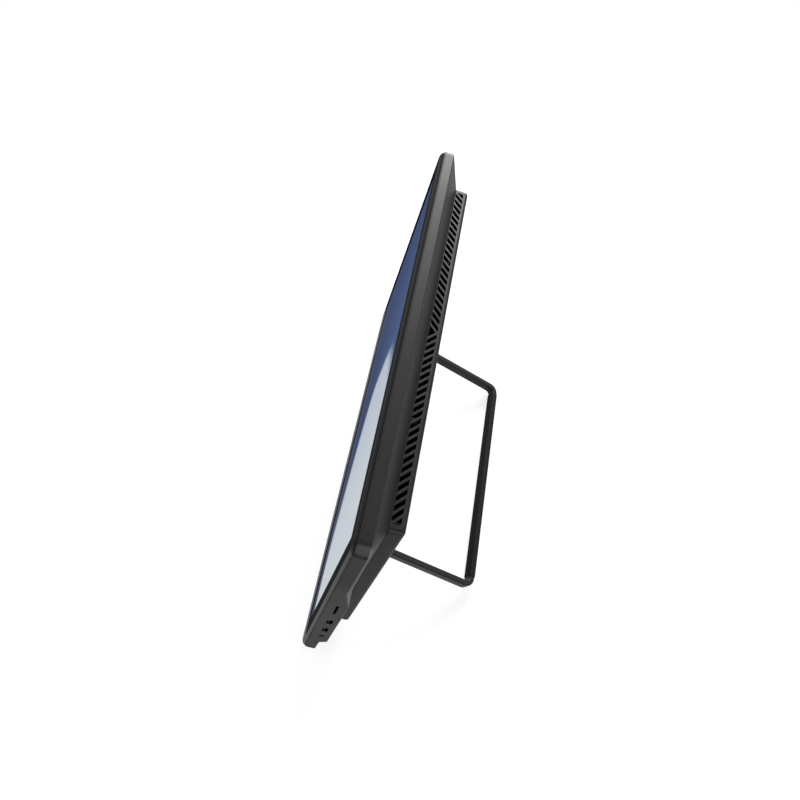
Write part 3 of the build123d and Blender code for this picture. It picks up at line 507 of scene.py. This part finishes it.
def studio_floor():
    """A plain white floor. Seen directly or mirrored it is nearly white, and keeps the shadow."""
    made = bmesh.new()
    bmesh.ops.create_grid(made, x_segments=1, y_segments=1, size=FLOOR_HALF)
    mesh = bpy.data.meshes.new("studio_floor")
    made.to_mesh(mesh)
    made.free()
    floor = bpy.data.objects.new("studio_floor", mesh)
    bpy.context.scene.collection.objects.link(floor)
    f = Finish("studio_white")
    rays = f.tree.nodes.new("ShaderNodeLightPath")
    direct, mirrored, through = (Wire(f, rays.outputs[kind]) for kind in (
        "Is Camera Ray", "Is Glossy Ray", "Is Transmission Ray"))
    seen = direct.most(mirrored).most(through)
    paper = f.node("ShaderNodeBsdfDiffuse", {}, {"Color": grey(0.93)})
    lit = f.node("ShaderNodeEmission", {}, {"Color": grey(1.0), "Strength": 1.0})
    distance = f.node("ShaderNodeVectorMath", {"operation": "LENGTH"}, (f.place,), out=1)
    away = distance.between(*SHADOW_ENDS)
    whiteness = away * SHADOW_SHARE + (1.0 - SHADOW_SHARE)
    both = f.node("ShaderNodeMixShader", {}, (seen * whiteness, paper, lit))
    f.tree.links.new(both.socket, f.out.inputs["Surface"])
    mesh.materials.append(f.material)


def soft_light(name, place, aim, size, power):
    """A rectangular lamp at place, turned to face aim."""
    lamp = bpy.data.lights.new(name, "AREA")
    lamp.shape, lamp.size, lamp.size_y, lamp.energy = "RECTANGLE", size[0], size[1], power
    thing = bpy.data.objects.new(name, lamp)
    thing.location = place
    thing.rotation_euler = (Vector(aim) - Vector(place)).to_track_quat("-Z", "Y").to_euler()
    bpy.context.scene.collection.objects.link(thing)


def studio_world():
    """Even light from all round, seen as plain white."""
    world = bpy.data.worlds.new("studio_world")
    bpy.context.scene.world = world
    world.use_nodes = True
    tree = world.node_tree
    tree.nodes.clear()
    rays = tree.nodes.new("ShaderNodeLightPath")
    seen = tree.nodes.new("ShaderNodeMath")
    seen.operation = "MAXIMUM"
    tree.links.new(rays.outputs["Is Camera Ray"], seen.inputs[0])
    tree.links.new(rays.outputs["Is Transmission Ray"], seen.inputs[1])
    soft = tree.nodes.new("ShaderNodeBackground")
    soft.inputs["Color"].default_value = grey(1.0)
    soft.inputs["Strength"].default_value = SKY_STRENGTH
    white = tree.nodes.new("ShaderNodeBackground")
    white.inputs["Color"].default_value = grey(1.0)
    mixed = tree.nodes.new("ShaderNodeMixShader")
    out = tree.nodes.new("ShaderNodeOutputWorld")
    tree.links.new(seen.outputs[0], mixed.inputs[0])
    tree.links.new(soft.outputs[0], mixed.inputs[1])
    tree.links.new(white.outputs[0], mixed.inputs[2])
    tree.links.new(mixed.outputs[0], out.inputs["Surface"])


def viewpoint():
    """The camera over the right-hand end, looking down the length of the computer."""
    lens_data = bpy.data.cameras.new("viewpoint")
    lens_data.lens, lens_data.sensor_width = 32.377, 36.0
    lens_data.shift_x, lens_data.shift_y = -0.0063, 0.0036
    camera = bpy.data.objects.new("viewpoint", lens_data)
    camera.location = leaned_point(0.44692, -0.05038, 0.81391)
    camera.rotation_euler = Euler([math.radians(a) for a in (33.8568, -3.1853, 99.7232)])
    bpy.context.scene.collection.objects.link(camera)
    bpy.context.scene.camera = camera


studio_floor()
studio_world()
soft_light("far_softbox", (-1.5, 0.12, 0.85), (0.0, 0.0, 0.25), (0.7, 0.6), 68.0)
soft_light("rear_softbox", (0.2, 1.5, 1.5), (0.0, 0.0, 0.15), (1.2, 1.0), 26.0)
soft_light("overhead_softbox", (0.2, -1.2, 2.0), (0.0, 0.0, 0.15), (1.6, 1.2), 19.0)
viewpoint()
bpy.context.scene.view_settings.view_transform = "Standard"
